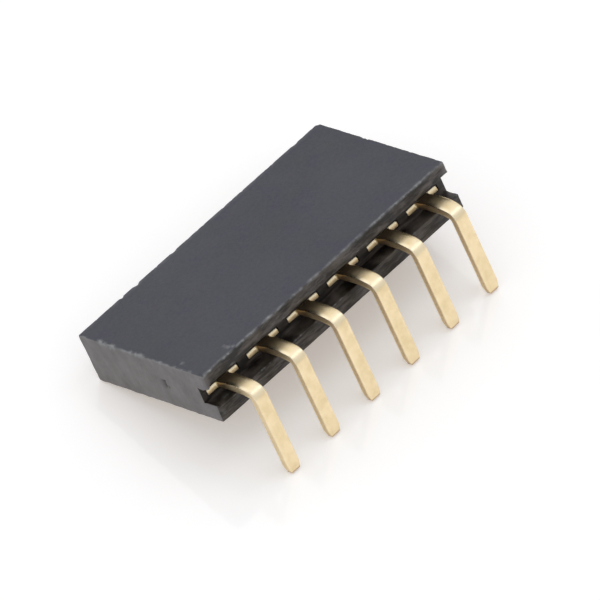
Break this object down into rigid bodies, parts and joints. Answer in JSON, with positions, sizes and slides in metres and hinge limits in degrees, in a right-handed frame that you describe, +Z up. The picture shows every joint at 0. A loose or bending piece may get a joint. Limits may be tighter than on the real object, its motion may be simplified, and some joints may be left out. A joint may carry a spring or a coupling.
{
  "type": "female pin header strip",
  "caption": "Right-angle female pin header strip: a row of square sockets in a black moulded housing, with flat gold-plated tails bent down to go through a circuit board.",
  "frame": {"origin": "middle of the row of tails, in the plane of the top of the board that the housing sits on", "axes": "+X along the row, +Y from the mating face towards the tails, +Z up from the board; the sockets open along -Y and the tails point along -Z"},
  "size_m": [0.0154, 0.0102, 0.0058],
  "materials": {
    "housing": "moulded black plastic, satin, with sawn ends",
    "contact": "pale gold plating over stamped copper alloy, satin"
  },
  "bodies": {
    "root": {"housing": "housing", "contact_1": "contact", "contact_2": "contact", "contact_3": "contact", "contact_4": "contact", "contact_5": "contact", "contact_6": "contact"}
  },
  "joints": []
}
